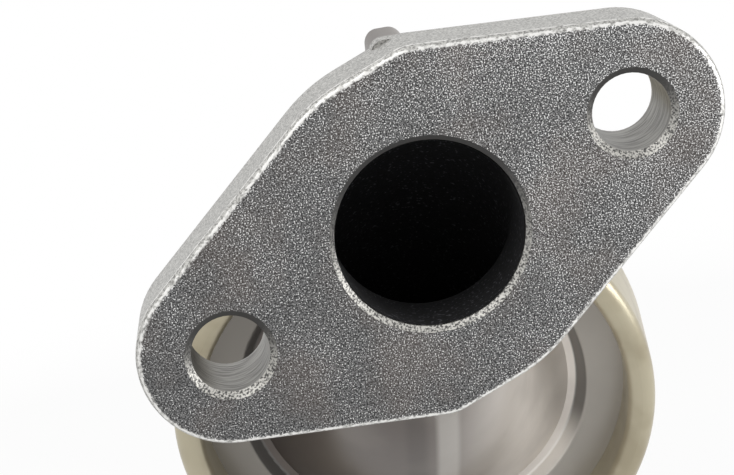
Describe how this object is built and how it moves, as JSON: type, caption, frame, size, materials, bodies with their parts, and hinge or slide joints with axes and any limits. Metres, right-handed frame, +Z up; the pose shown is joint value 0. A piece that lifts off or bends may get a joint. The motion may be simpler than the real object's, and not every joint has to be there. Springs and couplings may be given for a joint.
{
  "type": "secondary air valve",
  "caption": "Vacuum-operated air shut-off valve: cast outlet flange and bent neck, rolled steel can, hose spigot and diaphragm actuator",
  "frame": {"origin": "centre of the outlet bore on the flange's machined face", "axes": "+Z up, +Y into the flange and away from the engine, +X to the right seen from the engine side"},
  "size_m": [0.0696, 0.1182, 0.1119],
  "materials": {
    "cast_aluminium": "shot-blasted casting, worn bright on its edges",
    "machined_steel": "turned and ground",
    "spring_steel": "drawn wire, oiled",
    "plated_steel": "pressed sheet with a faint khaki passivated plating",
    "bronze": "sintered bronze, matt",
    "black_rubber": "matt black rubber",
    "gasket_sheet": "dark grey-brown fibre sheet"
  },
  "bodies": {
    "housing": {"outlet_body": "cast_aluminium", "valve_seat_ring": "machined_steel", "check_cage": "machined_steel", "check_spring": "spring_steel", "return_spring": "spring_steel", "inlet_can": "plated_steel", "inlet_spigot": "plated_steel", "actuator_base": "plated_steel", "rear_cover": "plated_steel", "vacuum_nipple": "plated_steel", "guide_bush": "bronze", "diaphragm": "black_rubber", "stem_seal": "black_rubber", "can_gasket": "gasket_sheet"},
    "shut_off_valve": {"valve_disc": "machined_steel", "valve_seal": "black_rubber", "valve_stem": "machined_steel", "diaphragm_plate": "plated_steel", "spring_cup": "plated_steel", "stem_washer": "machined_steel", "stem_nut": "machined_steel"},
    "check_valve": {"check_plate": "machined_steel"}
  },
  "joints": [
    {"name": "valve_lift", "type": "slide", "parent": "housing", "child": "shut_off_valve", "axis": [0.1099, 0.9649, 0.2385], "range_m": [0, 0.006], "stiffness_N_per_m": 1800, "springref_m": -0.006, "deforming": ["return_spring", "diaphragm"]},
    {"name": "check_lift", "type": "slide", "parent": "housing", "child": "check_valve", "axis": [-0.1099, -0.9649, -0.2385], "range_m": [0, 0.0025], "stiffness_N_per_m": 100, "springref_m": -0.002, "deforming": ["check_spring"]}
  ]
}
